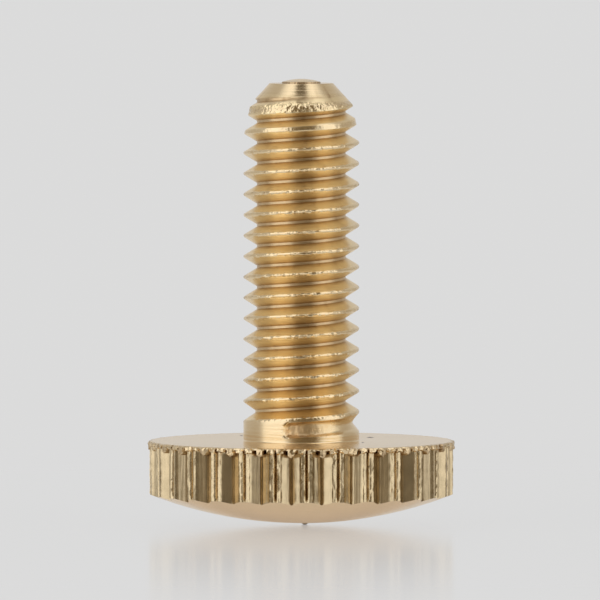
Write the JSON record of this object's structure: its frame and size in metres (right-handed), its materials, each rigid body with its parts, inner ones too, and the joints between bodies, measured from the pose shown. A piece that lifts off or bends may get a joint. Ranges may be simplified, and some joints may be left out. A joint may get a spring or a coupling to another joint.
{
  "type": "thumb screw",
  "caption": "Brass thumb screw with a straight-knurled, domed disc head, a short plain collar and a metric threaded shank with a lead-in tip.",
  "frame": {"origin": "middle of the small flat foot under the domed head, on the screw's axis, where it stands", "axes": "+Z along the screw's axis, from the head to the tip; -Y faces the camera of the picture"},
  "size_m": [0.0104, 0.0104, 0.0151],
  "materials": {
    "brass": "bare turned and knurled brass, lightly tarnished"
  },
  "bodies": {
    "root": {"thumb_screw": "brass"}
  },
  "joints": []
}
